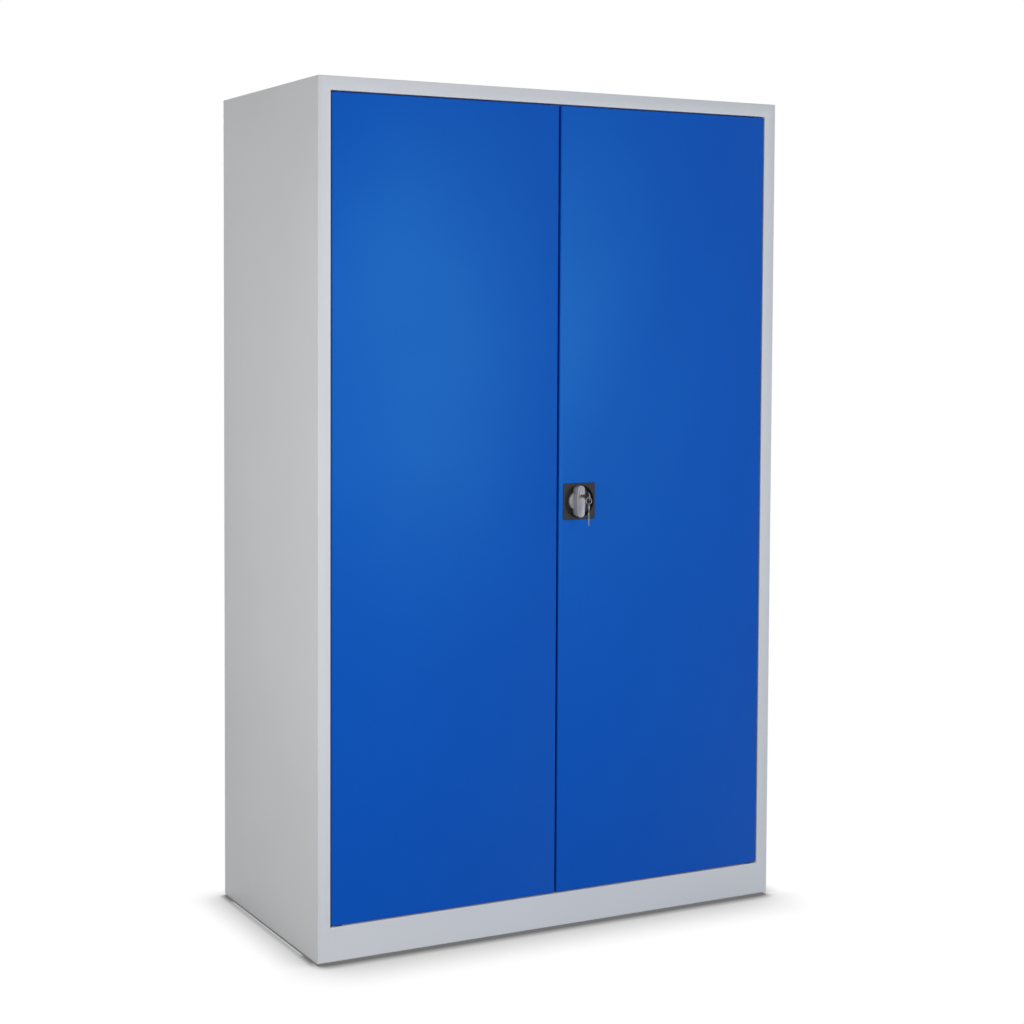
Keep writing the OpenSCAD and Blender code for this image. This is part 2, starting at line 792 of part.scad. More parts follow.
module cam_nut() color(zinc) translate([lock_x, 0, lock_z]) difference() {
    translate([0, cam_back + nut_t, 0]) rotate([90, 0, 0])
        cylinder(d = nut_across / cos(30), h = nut_t, $fn = 6);
    rod_y_round(0, 0, spindle_d + 2 * snug, cam_back - past, cam_back + nut_t + past);
}

// Flat rod with an eye for a cam stud and a tapered tip; up is 1 for the upper rod, -1 for the lower one
module lock_rod(up, tip_z) {
    half = rod_w / 2;
    wide = (eye_out - eye_in) / 2 + eye_wall;
    reach = abs(tip_z - lock_z) + stud_side;
    translate([lock_x - up * rod_side, 0, lock_z - up * stud_side]) mirror([0, 0, up < 0 ? 1 : 0])
        along_y(rod_y, rod_y + rod_t) difference() {
            union() {
                polygon([[-half, 0], [half, 0], [half, reach - rod_tip], [half / 2, reach],
                    [-half / 2, reach], [-half, reach - rod_tip]]);
                square([2 * wide, 2 * eye_half_h], center = true);
            }
            square([2 * (wide - eye_wall), 2 * (eye_half_h - eye_end)], center = true);
        }
}

module upper_rod() color(zinc) lock_rod(1, door_top - rod_end_gap);
module lower_rod() color(zinc) lock_rod(-1, door_bottom + rod_end_gap);

// Keys

module lock_plug() color(silver) translate([lock_x, 0, cylinder_z]) {
    half_t = key_t / 2 + key_play;
    half_h = blade_h / 2 + key_play;
    slot_end = cylinder_face + key_in + 2 * key_play;
    difference() {
        rod_y_round(0, 0, plug_d - 2 * running, cylinder_face,
            grip_face + cylinder_deep - cylinder_end_t - 2 * key_play);
        block([-half_t, cylinder_face - past, -half_h], [half_t, slot_end, half_h]);
    }
}

// Key in its own plane: the bow's middle at the origin, the blade pointing along +u
module key_outline(length) {
    end = key_bow + length;
    half = blade_h / 2;
    step = length / (key_teeth + 4);
    teeth = [for (i = [key_teeth + 2:-1:3]) for (p = [[i + 0.5, i % 2 == 0 ? 1 : 2], [i, 0]])
        [key_bow + p.x * step, half - p.y]];
    difference() {
        union() {
            circle(r = key_bow, $fn = 64);
            translate([key_bow - key_collar / 2, -half - 1]) square([key_collar, blade_h + 2]);
            polygon(concat([[key_bow - sink, half], [key_bow - sink, -half], [end - key_tip, -half],
                [end, key_tip - half], [end - key_tip / 2, half - key_tip]], teeth));
        }
        translate([-bow_hole_out, 0]) circle(d = key_hole, $fn = 32);
    }
}

module door_key() color(silver) {
    along_x(lock_x - key_t / 2, lock_x + key_t / 2) translate([bow_y, cylinder_z])
        key_outline(cylinder_face + key_in - bow_y - key_bow);
}

module key_ring() color(zinc) {
    translate([lock_x, key_hole_y, ring_pivot_z - ring_r]) rotate([90, 0, 0])
        rotate_extrude($fn = 64) translate([ring_r, 0]) circle(d = ring_wire, $fn = 24);
}

module spare_key() color(silver) translate([lock_x, key_hole_y, spare_hole_z]) rotate(-spare_turn) {
    along_x(-key_t / 2, key_t / 2) translate([0, -bow_hole_out]) rotate(-90) key_outline(blade_len);
}

left_side_panel();
right_side_panel();
roof_panel();
floor_panel();
back_panel();
top_stop_angle();
floor_stop_angle();
door_buffers();
corner_gussets();
levelling_feet();
left_front_upright();
left_rear_upright();
right_front_upright();
right_rear_upright();
shelf(1);  // shelf_1
shelf(2);  // shelf_2
shelf(3);  // shelf_3
shelf(4);  // shelf_4
shelf_clips(1);  // shelf_clips_1
shelf_clips(2);  // shelf_clips_2
shelf_clips(3);  // shelf_clips_3
shelf_clips(4);  // shelf_clips_4
hinge_pins();
hinge_washers();
left_door_panel();
left_door_stiffener();
left_door_bushes();
right_door_panel();
right_door_stiffener();
right_door_bushes();
lock_plate();
lock_retainer();
lock_screws();
rod_guides();
handle_grip();
handle_circlip();
lock_cylinder();
lock_cam();
cam_nut();
upper_rod();
lower_rod();
lock_plug();
door_key();
key_ring();
spare_key();
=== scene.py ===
import math

import bmesh
import bpy
from mathutils import Matrix, Vector


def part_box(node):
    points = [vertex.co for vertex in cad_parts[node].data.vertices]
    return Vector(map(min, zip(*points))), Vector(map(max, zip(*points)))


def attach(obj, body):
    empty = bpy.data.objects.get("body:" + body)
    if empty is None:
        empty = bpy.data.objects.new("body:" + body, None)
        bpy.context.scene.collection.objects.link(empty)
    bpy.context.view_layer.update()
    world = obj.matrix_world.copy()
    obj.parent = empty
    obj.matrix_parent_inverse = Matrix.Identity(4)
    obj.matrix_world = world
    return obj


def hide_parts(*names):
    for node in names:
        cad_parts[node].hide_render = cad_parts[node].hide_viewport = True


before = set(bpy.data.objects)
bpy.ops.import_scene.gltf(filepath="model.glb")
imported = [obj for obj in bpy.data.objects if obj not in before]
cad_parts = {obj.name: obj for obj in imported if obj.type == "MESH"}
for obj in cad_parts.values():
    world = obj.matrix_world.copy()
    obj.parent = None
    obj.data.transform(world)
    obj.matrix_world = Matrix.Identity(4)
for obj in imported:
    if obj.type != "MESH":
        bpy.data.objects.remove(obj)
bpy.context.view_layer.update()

print("frame loaded:", len(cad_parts), "nodes")


# Working in object and edit mode

def deselectAll():
    bpy.ops.object.select_all(action="DESELECT")


def activate(piece):
    deselectAll()
    piece.select_set(True)
    bpy.context.view_layer.objects.active = piece


def named(name):
    piece = bpy.context.object
    piece.name = name
    piece.data.name = name
    bpy.ops.object.transform_apply(location=True, rotation=True, scale=True)
    return piece


def addCube(name, low, high):
    deselectAll()
    middle = [(a + b) / 2 for a, b in zip(low, high)]
    bpy.ops.mesh.primitive_cube_add(size=1, location=middle, scale=[b - a for a, b in zip(low, high)])
    return named(name)


def edit(piece):
    activate(piece)
    bpy.ops.object.mode_set(mode="EDIT")
    bpy.ops.mesh.select_all(action="DESELECT")


def leave():
    bpy.ops.object.mode_set(mode="OBJECT")


def near(a, b):
    return abs(a - b) < 1e-5


def pick(kind, test):
    # selects the verts, edges or faces whose every corner passes the test
    bpy.ops.mesh.select_mode(type=kind)
    bpy.ops.mesh.select_all(action="DESELECT")
    mesh = bmesh.from_edit_mesh(bpy.context.edit_object.data)
    for item in {"VERT": mesh.verts, "EDGE": mesh.edges, "FACE": mesh.faces}[kind]:
        corners = [item] if kind == "VERT" else item.verts
        if all(test(corner.co) for corner in corners):
            item.select_set(True)
    bmesh.update_edit_mesh(bpy.context.edit_object.data)


def extrude(x=0.0, y=0.0, z=0.0):
    bpy.ops.mesh.extrude_region_move(TRANSFORM_OT_translate={"value": (x, y, z)})


def move(x=0.0, y=0.0, z=0.0):
    bpy.ops.transform.translate(value=(x, y, z))


def inset(width):
    bpy.ops.mesh.inset(thickness=width, use_even_offset=True)


def pickLengthways():
    # selects the edges that run along Y
    bpy.ops.mesh.select_mode(type="EDGE")
    mesh = bmesh.from_edit_mesh(bpy.context.edit_object.data)
    for edge in mesh.edges:
        edge.select_set(abs(edge.verts[0].co.y - edge.verts[1].co.y) > 0.001)
    bmesh.update_edit_mesh(bpy.context.edit_object.data)


def deleteFaces():
    bpy.ops.mesh.delete(type="FACE")


def outwards():
    # merges doubles and turns every face outwards
    bpy.ops.mesh.select_all(action="SELECT")
    bpy.ops.mesh.remove_doubles(threshold=1e-5)
    bpy.ops.mesh.normals_make_consistent(inside=False)


def modify(piece, kind, **values):
    activate(piece)
    modifier = piece.modifiers.new(kind.title(), kind)
    for key, value in values.items():
        setattr(modifier, key, value)
    bpy.ops.object.modifier_apply(modifier=modifier.name)


def cut(piece, cutter, operation="DIFFERENCE"):
    modify(piece, "BOOLEAN", object=cutter, operation=operation, solver="EXACT")
    bpy.data.objects.remove(cutter, do_unlink=True)


def foldSheet(piece, radius):
    # rounds the folds, then gives the outer skin its thickness
    modify(piece, "BEVEL", width=radius, segments=4, limit_method="ANGLE", angle_limit=math.radians(30))
    modify(piece, "SOLIDIFY", thickness=sheet, offset=-1)


def roundEdges(piece, width, segments=3, angle=30):
    modify(piece, "BEVEL", width=width, segments=segments, limit_method="ANGLE",
           angle_limit=math.radians(angle), harden_normals=False)


def smooth(piece, angle=35):
    activate(piece)
    bpy.ops.object.shade_smooth_by_angle(angle=math.radians(angle))


def turned(name, centre, profile, steps):
    # spins a line of (radius, distance) points about the axis through the centre along Y
    deselectAll()
    bpy.ops.mesh.primitive_plane_add(size=0.001, location=centre)
    piece = named(name)
    edit(piece)
    bpy.ops.mesh.select_mode(type="VERT")
    bpy.ops.mesh.select_all(action="SELECT")
    bpy.ops.mesh.merge(type="CENTER")
    points = [Vector((0, 0, 0))] + [Vector((radius, along, 0)) for radius, along in profile]
    move(*(points[1] - points[0]))
    for here, there in zip(points[1:], points[2:]):
        extrude(*(there - here))
    bpy.ops.mesh.select_all(action="SELECT")
    bpy.ops.mesh.spin(steps=steps, angle=math.tau, center=centre, axis=(0, 1, 0))
    outwards()
    leave()
    return piece


def copied(piece, shifts):
    # the piece and its shifted copies as one mesh
    parts = [piece]
    for shift in shifts:
        activate(piece)
        bpy.ops.object.duplicate()
        bpy.ops.transform.translate(value=shift)
        bpy.ops.object.transform_apply(location=True, rotation=True, scale=True)
        parts.append(bpy.context.object)
    deselectAll()
    for part in parts:
        part.select_set(True)
    bpy.context.view_layer.objects.active = piece
    bpy.ops.object.join()
    return piece


def arc(middle, radius, start, end, steps):
    # points of an arc in a turned profile, angles in degrees
    angles = [math.radians(start + (end - start) * i / steps) for i in range(steps + 1)]
    return [(middle[0] + radius * math.cos(a), middle[1] + radius * math.sin(a)) for a in angles]


def bake(piece):
    # puts the piece at the origin, unturned and unscaled
    activate(piece)
    bpy.ops.object.transform_apply(location=True, rotation=True, scale=True)


def place(piece, body, slot, finish, *nodes):
    # the finish, the body it moves with and the nodes it stands for
    piece.data.materials.clear()
    piece.data.materials.append(finish.material)
    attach(piece, body)
    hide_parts(*nodes)


# Sizes that the pieces share, read from the frame

def corner(node, side):
    return Vector(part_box(node)[side])


shellLow = Vector([min(corner("left_side_panel", 0)[i], corner("floor_panel", 0)[i]) for i in range(3)])
shellHigh = Vector([max(corner("right_side_panel", 1)[i], corner("roof_panel", 1)[i]) for i in range(3)])
doorLow = corner("right_door_panel", 0)
doorHigh = corner("right_door_panel", 1)
plateLow = corner("lock_plate", 0)
plateHigh = corner("lock_plate", 1)
lockX = (plateLow.x + plateHigh.x) / 2
lockZ = (plateLow.z + plateHigh.z) / 2
sheet = 0.001
rod = {"halfWidth": 0.005}


def rodSlot(node, z, play, reach):
    # cutter for the opening that a rod goes through
    low = corner(node, 0)
    high = corner(node, 1)
    middle = (low.x + high.x) / 2
    half = rod["halfWidth"] + play
    return addCube("slotCutter", (middle - half, low.y - play, z - reach),
                   (middle + half, high.y + play, z + reach))


# Finishes

class Signal:
    # a node's socket that sums and products can be written with
    def __init__(self, bench, socket):
        self.bench = bench
        self.socket = socket

    def join(self, operation, first, second=0.0):
        return self.bench.node("Math", {"operation": operation}, {0: first, 1: second})

    def __add__(self, other):
        return self.join("ADD", self, other)

    def __sub__(self, other):
        return self.join("SUBTRACT", self, other)

    def __rsub__(self, other):
        return self.join("SUBTRACT", other, self)

    def __mul__(self, other):
        return self.join("MULTIPLY", self, other)

    def __gt__(self, other):
        return self.join("GREATER_THAN", self, other)

    def __lt__(self, other):
        return self.join("LESS_THAN", self, other)

    def __abs__(self):
        return self.join("ABSOLUTE", self)

    __radd__ = __add__
    __rmul__ = __mul__


class Bench:
    # the nodes of a material or of the world
    def __init__(self, holder):
        holder.use_nodes = True
        self.nodes = holder.node_tree.nodes
        self.links = holder.node_tree.links

    def node(self, kind, settings, inputs, output=0):
        node = self.nodes.new("ShaderNode" + kind)
        for key, value in settings.items():
            setattr(node, key, value)
        for key, value in inputs.items():
            if isinstance(value, Signal):
                self.links.new(value.socket, node.inputs[key])
            else:
                node.inputs[key].default_value = value
        return Signal(self, node.outputs[output])

    def seen(self):
        # 1 for what the camera sees, also in a reflection
        camera, glossy, through = [self.node("LightPath", {}, {}, "Is %s Ray" % kind)
                                   for kind in ("Camera", "Glossy", "Transmission")]
        return camera.join("MAXIMUM", camera.join("MAXIMUM", camera, glossy), through)


class Finish(Bench):
    def __init__(self, name):
        self.material = bpy.data.materials.new(name)
        super().__init__(self.material)
        self.shader = self.nodes["Principled BSDF"]
        self.spot = self.node("TexCoord", {}, {}, "Object")

    def feed(self, socket, signal):
        self.links.new(signal.socket, self.shader.inputs[socket])

    def fix(self, **values):
        for key, value in values.items():
            self.shader.inputs[key.replace("_", " ")].default_value = value

    def noise(self, scale, detail=2.0, stretch=(1, 1, 1)):
        spot = self.node("Mapping", {}, {"Vector": self.spot, "Scale": stretch})
        return self.node("TexNoise", {}, {"Vector": spot, "Scale": scale, "Detail": detail})

    def cells(self, scale):
        return self.node("TexVoronoi", {}, {"Vector": self.spot, "Scale": scale}, "Color")

    def split(self):
        # the object's own x, y and z
        axes = self.node("SeparateXYZ", {}, {"Vector": self.spot}, 0)
        return axes, Signal(self, axes.socket.node.outputs[1]), Signal(self, axes.socket.node.outputs[2])

    def ramp(self, signal, low, high):
        return self.node("MapRange", {"interpolation_type": "SMOOTHSTEP"},
                         {"Value": signal, "From Min": low, "From Max": high})

    def mixed(self, mask, first, second):
        return self.node("Mix", {"data_type": "RGBA"}, {0: mask, 6: first, 7: second}, 2)

    def height(self, metres):
        self.feed("Normal", self.node("Bump", {}, {"Height": metres, "Distance": 1.0, "Strength": 1.0}))


def linear(red, green, blue):
    # a colour as it is read off a screen, 0 to 255
    values = [v / 255 for v in (red, green, blue)]
    return [v / 12.92 if v < 0.04045 else ((v + 0.055) / 1.055) ** 2.4 for v in values] + [1.0]


coat = {
    "grey": linear(203, 206, 208),
    "greyShade": linear(201, 204, 206),
    "greyGloss": 0.30,
    "greySheen": (1, 1, 1, 1),
    "greyRoughness": 0.45,
    "blue": linear(1, 72, 175),
    "blueShade": linear(1, 70, 173),
    "blueGloss": 0.34,
    "blueSheen": (0.20, 1, 1, 1),
    "blueRoughness": 0.36,
    "peelSize": 0.0016,
    "peelDepth": 0.000012,
    "waveSize": 0.45,
    "waveDepth": 0.0004,
    "cloudSize": 1 / 3,
    "roughnessSpread": 0.10,
}


def powderCoat(name, tone, spots=None):
    finish = Finish(name)
    peel = finish.noise(1 / coat["peelSize"], 1.0)
    wave = finish.noise(1 / coat["waveSize"], 1.0)
    cloud = finish.noise(1 / coat["cloudSize"])
    spread = coat["roughnessSpread"]
    finish.feed("Base Color", finish.mixed(finish.ramp(cloud, 0.3, 0.7), coat[tone], coat[tone + "Shade"]))
    finish.feed("Roughness", coat[tone + "Roughness"] + (peel - 0.5) * spread + (cloud - 0.5) * spread)
    height = peel * coat["peelDepth"] + wave * coat["waveDepth"]
    if spots:
        height = height - spots(finish) * weld["depth"]
    finish.height(height)
    finish.fix(Specular_IOR_Level=coat[tone + "Gloss"], Specular_Tint=coat[tone + "Sheen"])
    return finish


weld = {"pitch": 0.15, "radius": 0.0035, "depth": 0.0004, "fromEdge": 0.012, "flangeOut": 0.026}


def spotRow(finish, across, along):
    # a row of round spot welds: 1 in a spot, 0 outside
    turns = along.join("PINGPONG", along, weld["pitch"] / 2)
    distance = along.join("POWER", across * across + turns * turns, 0.5)
    return 1 - finish.ramp(distance, weld["radius"] * 0.6, weld["radius"])


def rearSpots(finish):
    # along the middle of the folds at the back
    x, y, z = finish.split()
    sides = spotRow(finish, abs(x) - (shellHigh.x - weld["fromEdge"]), z)
    top = spotRow(finish, z - (shellHigh.z - weld["fromEdge"]), x)
    return (y > shellHigh.y - sheet / 5) * (sides + top)


def stiffenerSpots(finish):
    # along both welding flanges of the hat section
    x, y, z = finish.split()
    middle = (doorLow.x + doorHigh.x) / 2
    row = spotRow(finish, abs(abs(x) - middle) - weld["flangeOut"], z)
    return row * (y < doorLow.y + 3.3 * sheet)


def metal(name, colour, roughness, tint, grain, stretch=(1, 1, 1), depth=0.000004, metallic=1.0):
    finish = Finish(name)
    fine = finish.noise(grain, 2.0, stretch)
    patch = finish.noise(60.0, 3.0)
    finish.feed("Base Color", finish.mixed(patch, colour, tint))
    finish.feed("Roughness", roughness + (fine - 0.5) * 0.18 + (patch - 0.5) * 0.12)
    finish.height(fine * depth)
    finish.fix(Metallic=metallic)
    return finish


def zincPlate(name):
    finish = Finish(name)
    flakes = finish.cells(220.0)
    fine = finish.noise(900.0, 3.0)
    patch = finish.noise(25.0, 3.0)
    flake = finish.node("SeparateColor", {}, {"Color": flakes})
    tone = finish.ramp(flake * 0.5 + patch * 0.5, 0.2, 0.8)
    finish.feed("Base Color", finish.mixed(tone, linear(176, 178, 176), linear(206, 207, 201)))
    finish.feed("Roughness", 0.36 + (flake - 0.5) * 0.16 + (fine - 0.5) * 0.12)
    finish.height(fine * 0.000006)
    finish.fix(Metallic=1.0)
    return finish


def plastic(name, colour, roughness, grain, depth, gloss):
    finish = Finish(name)
    fine = finish.noise(grain, 2.0)
    patch = finish.noise(40.0, 2.0)
    finish.feed("Base Color", finish.mixed(patch, colour, [c * 1.35 for c in colour[:3]] + [1.0]))
    finish.feed("Roughness", roughness + (fine - 0.5) * 0.15 + (patch - 0.5) * 0.08)
    finish.height(fine * depth)
    finish.fix(Specular_IOR_Level=gloss)
    return finish


foot = {"plateTop": 0.0051, "threadFrom": 0.0146, "threadPitch": 0.00125}


def footFinish():
    # black foot plate with a zinc-plated, threaded screw above it
    finish = Finish("levellingFoot")
    x, y, z = finish.split()
    steel = z > foot["plateTop"]
    fine = finish.noise(900.0, 2.0)
    finish.feed("Base Color", finish.mixed(steel, linear(30, 30, 32), linear(190, 190, 186)))
    finish.feed("Metallic", steel * 1.0)
    finish.feed("Roughness", 0.55 - steel * 0.2 + (fine - 0.5) * 0.15)
    thread = z.join("PINGPONG", z, foot["threadPitch"] / 2)
    finish.height(thread * (z > foot["threadFrom"]) * 0.8 + fine * 0.00001)
    return finish


greyPaint = powderCoat("greyPowderCoat", "grey")
shellPaint = powderCoat("greyShellCoat", "grey", rearSpots)
bluePaint = powderCoat("bluePowderCoat", "blue")
stiffenerPaint = powderCoat("blueStiffenerCoat", "blue", stiffenerSpots)
zinc = zincPlate("zincPlate")
# dull zinc for the hinge pins, washers and bushes, with its colour darkened further as painted shade for the
# door gaps they sit in
pinZincPaintedShade = metal("dullPinZincPaintedShade", linear(84, 85, 86), 0.55, linear(66, 66, 66), 1200.0)
blackPlastic = plastic("blackPlastic", linear(31, 31, 30), 0.50, 1800.0, 0.000012, 0.26)
rubber = plastic("blackRubber", linear(26, 26, 27), 0.75, 700.0, 0.00002, 0.30)
silverCast = metal("silverLacquer", linear(153, 153, 159), 0.42, linear(144, 144, 150), 1400.0,
                   depth=0.000006, metallic=0.15)
chrome = metal("cylinderNickel", linear(166, 156, 146), 0.28, linear(142, 130, 118), 1800.0, (1, 0.1, 1))
plugBrass = metal("plugBrass", linear(160, 147, 137), 0.34, linear(138, 124, 114), 1800.0, (1, 0.1, 1))
keyNickel = metal("keyNickel", linear(142, 141, 140), 0.36, linear(116, 114, 112), 2200.0, (1, 0.15, 1))
ringSteel = metal("ringSteel", linear(138, 137, 138), 0.32, linear(118, 117, 118), 2000.0)
print("finishes ready")


# Carcass shell: one welded and painted skin

shell = {
    "stile": 0.030,
    "openingTop": 1.919,
    "deck": 0.082,
    "doorReturn": 0.025,
    "lip": 0.012,
    "railReturn": 0.040,
    "plinthReturn": 0.020,
    "rearReturn": 0.020,
    "skirt": 0.060,
    "bend": 0.002,
    "slotPlay": 0.0015,
}


def carcassShell():
    piece = addCube("carcassShell", shellLow, shellHigh)
    front = shellLow.y
    back = shellHigh.y
    half = shellHigh.x
    opening = half - shell["stile"]
    stop = front + shell["doorReturn"]
    edit(piece)
    pick("FACE", lambda p: near(p.z, shellLow.z))
    deleteFaces()
    # door opening with its folds
    pick("FACE", lambda p: near(p.y, front))
    inset(shell["stile"])
    pick("VERT", lambda p: near(p.y, front) and near(abs(p.x), opening) and p.z > 1)
    move(z=shell["openingTop"] - (shellHigh.z - shell["stile"]))
    pick("VERT", lambda p: near(p.y, front) and near(abs(p.x), opening) and p.z < 1)
    move(z=shell["deck"] - (shellLow.z + shell["stile"]))
    pick("FACE", lambda p: near(p.y, front) and abs(p.x) < opening + 1e-5)
    extrude(y=shell["doorReturn"])
    deleteFaces()
    for side in (-1, 1):
        pick("EDGE", lambda p: near(p.y, stop) and near(p.x, side * opening))
        extrude(x=side * shell["lip"])
    pick("EDGE", lambda p: near(p.y, stop) and near(p.z, shell["openingTop"]) and abs(p.x) < opening + 1e-5)
    extrude(y=shell["railReturn"] - shell["doorReturn"])
    # floor, from the plinth to the skirt at the back
    pick("EDGE", lambda p: near(p.y, stop) and near(p.z, shell["deck"]) and abs(p.x) < opening + 1e-5)
    extrude(y=back - stop)
    for side in (-1, 1):
        pick("EDGE", lambda p: near(p.x, side * opening) and near(p.z, shell["deck"]) and p.y > stop - 1e-5)
        extrude(x=side * (shell["stile"] - sheet))
    pick("VERT", lambda p: near(p.z, shell["deck"]) and near(p.y, back) and abs(p.x) > opening + 1e-4)
    move(y=-1.5 * sheet)
    pick("EDGE", lambda p: near(p.z, shell["deck"]) and near(p.y, back))
    extrude(z=-shell["skirt"])
    # open back with a fold all round but at the floor
    pick("FACE", lambda p: near(p.y, back) and (near(abs(p.x), half)))
    inset(shell["rearReturn"])
    deleteFaces()
    pick("FACE", lambda p: near(p.y, back) and p.z < shellLow.z + shell["rearReturn"] + 1e-5)
    deleteFaces()
    pick("VERT", lambda p: near(p.y, back) and near(abs(p.x), half - shell["rearReturn"]) and p.z < 0.1)
    move(z=-shell["rearReturn"])
    # fold under the plinth, with mitred ends
    pick("EDGE", lambda p: near(p.y, front) and near(p.z, shellLow.z))
    extrude(y=shell["plinthReturn"])
    for side in (-1, 1):
        pick("VERT", lambda p: near(p.y, front + shell["plinthReturn"]) and near(p.x, side * half))
        move(x=-side * shell["plinthReturn"])
    leave()
    foldSheet(piece, shell["bend"])
    for node, z in (("upper_rod", shell["openingTop"]), ("lower_rod", shell["deck"])):
        cut(piece, rodSlot(node, z, shell["slotPlay"], 3 * sheet))
    smooth(piece)
    place(piece, "carcass", "carcass_paint", shellPaint,
          "left_side_panel", "right_side_panel", "roof_panel", "floor_panel")


carcassShell()
print("carcass shell ready")


# Doors: folded pans, the right one with the openings for the lock

door = {"lip": 0.013, "bend": 0.003, "bowlHole": 0.0404, "slotPlay": 0.0003}


def doorPan(name, node):
    low = corner(node, 0)
    high = corner(node, 1)
    piece = addCube(name, low, high)
    edit(piece)
    pick("FACE", lambda p: near(p.y, high.y))
    inset(door["lip"])
    deleteFaces()
    leave()
    foldSheet(piece, door["bend"])
    return piece


def doorLeft():
    piece = doorPan("doorLeft", "left_door_panel")
    smooth(piece)
    place(piece, "left_door", "door_paint", bluePaint, "left_door_panel")


def doorRight():
    piece = doorPan("doorRight", "right_door_panel")
    radius = door["bowlHole"]
    reach = 3 * sheet
    cut(piece, turned("holeCutter", (lockX, doorLow.y, lockZ),
                      [(0, -reach), (radius, -reach), (radius, reach), (0, reach)], 64))
    for node, z in (("upper_rod", doorHigh.z), ("lower_rod", doorLow.z)):
        cut(piece, rodSlot(node, z, door["slotPlay"], 4 * sheet))
    smooth(piece)
    place(piece, "right_door", "door_paint", bluePaint, "right_door_panel")


doorLeft()
doorRight()
print("doors ready")


# Rubber buffers behind the doors

buffer = {"radius": 0.005, "edge": 0.0012, "height": 0.00096, "taper": 0.00024}


def doorBuffers():
    low = corner("door_buffers", 0)
    high = corner("door_buffers", 1)
    radius = buffer["radius"]
    length = high.y - low.y
    profile = [(0, 0)] + arc((radius - buffer["edge"], buffer["height"]), buffer["height"], -90, 0, 4)
    profile += [(radius - buffer["taper"], length), (0, length)]
    piece = turned("doorBuffers", (low.x + radius, low.y, low.z + radius), profile, 24)
    across = high.x - low.x - 2 * radius
    rise = high.z - low.z - 2 * radius
    copied(piece, [(across, 0, 0), (0, 0, rise), (across, 0, rise)])
    smooth(piece)
    place(piece, "carcass", "rubber", rubber, "door_buffers")


doorBuffers()


# Lock plate with its bowl

lockPlate = {
    "cornerRadius": 0.004,
    "edge": 0.0018,
    "bowlRadius": 0.0385,
    "bowlWall": 0.0015,
    "floorRadius": 0.003,
    "floor": 0.002,
    "hubHole": 0.00705,
    "rim": 0.0006,
    "overlap": 0.0005,
}


def plateBlock():
    # square with rounded corners and a softened front edge
    front = plateLow.y
    back = doorLow.y
    piece = addCube("lockPlate", (plateLow.x, front, plateLow.z), (plateHigh.x, back, plateHigh.z))
    edit(piece)
    pickLengthways()
    bpy.ops.mesh.bevel(offset=lockPlate["cornerRadius"], segments=8, affect="EDGES")
    pick("FACE", lambda p: near(p.y, front))
    bpy.ops.mesh.bevel(offset=lockPlate["edge"], segments=5, affect="EDGES")
    outwards()
    leave()
    return piece


def lockPlateAndBowl():
    size = lockPlate
    piece = plateBlock()
    centre = (lockX, doorLow.y, lockZ)
    depth = plateHigh.y - doorLow.y
    outer = size["bowlRadius"] + size["bowlWall"]
    body = [(0, -size["overlap"]), (outer, -size["overlap"]), (outer, depth), (0, depth)]
    cut(piece, turned("bowlBody", centre, body, 96), "UNION")
    floor = depth - size["floor"]
    front = plateLow.y - doorLow.y
    lead = size["rim"]
    mouth = size["bowlRadius"] + lead
    fillet = size["floorRadius"]
    hollow = [(0, front - sheet), (mouth, front - sheet), (mouth, front)]
    hollow += arc((mouth, front + lead), lead, -90, -180, 4)[1:]
    hollow += arc((size["bowlRadius"] - fillet, floor - fillet), fillet, 0, 90, 6)
    hollow += [(size["hubHole"], floor), (size["hubHole"], depth + sheet), (0, depth + sheet)]
    cut(piece, turned("bowlHollow", centre, hollow, 96))
    smooth(piece)
    place(piece, "right_door", "black_plastic", blackPlastic, "lock_plate")


lockPlateAndBowl()
print("lock plate ready")


# Handle: a tapered grip on a domed disc, with its hub and spindle

handle = {
    "length": 0.075,
    "middleWidth": 0.023,
    "endWidth": 0.019,
    "draft": 1.05,
    "edge": 0.0022,
    "middleBevel": 0.012,
    "dishInset": 0.0012,
    "dish": 0.0006,
    "discGap": 0.0005,
    "discRadius": 0.022,
    "discThickness": 0.007,
    "discEdge": 0.0045,
    "discCrown": 0.0004,
    "crownRadius": 0.010,
    "hubRadius": 0.007,
    "spindleRadius": 0.005,
    "cylinderRadius": 0.0075,
    "cylinderDepth": 0.014,
    "cylinderUp": 0.0135,
}


def gripBody(front, back):
    size = handle
    endRadius = size["endWidth"] / 2
    deselectAll()
    bpy.ops.mesh.primitive_circle_add(vertices=64, radius=endRadius, fill_type="NGON",
                                      location=(lockX, back, lockZ), rotation=(math.pi / 2, 0, 0))
    piece = named("handle")
    edit(piece)
    reach = size["length"] / 2 - endRadius
    pick("VERT", lambda p: p.z > lockZ + 1e-5)
    move(z=reach)
    pick("VERT", lambda p: p.z < lockZ - 1e-5)
    move(z=-reach)
    widen = (size["middleWidth"] - size["endWidth"]) / 2
    for side in (-1, 1):
        pick("VERT", lambda p: near(p.z, lockZ) and side * (p.x - lockX) > 0)
        move(x=side * widen)
    pick("VERT", lambda p: near(p.z, lockZ))
    bpy.ops.mesh.bevel(offset=size["middleBevel"], segments=8, affect="VERTICES")
    pick("FACE", lambda p: True)
    extrude(y=front - back)
    pick("VERT", lambda p: near(p.y, back))
    bpy.ops.transform.resize(value=(size["draft"], 1, 1), center_override=(lockX, back, lockZ))
    pick("FACE", lambda p: near(p.y, front))
    bpy.ops.mesh.bevel(offset=size["edge"], segments=5, affect="EDGES")
    pick("FACE", lambda p: near(p.y, front))
    inset(size["dishInset"])
    move(y=size["dish"])
    outwards()
    leave()
    return piece


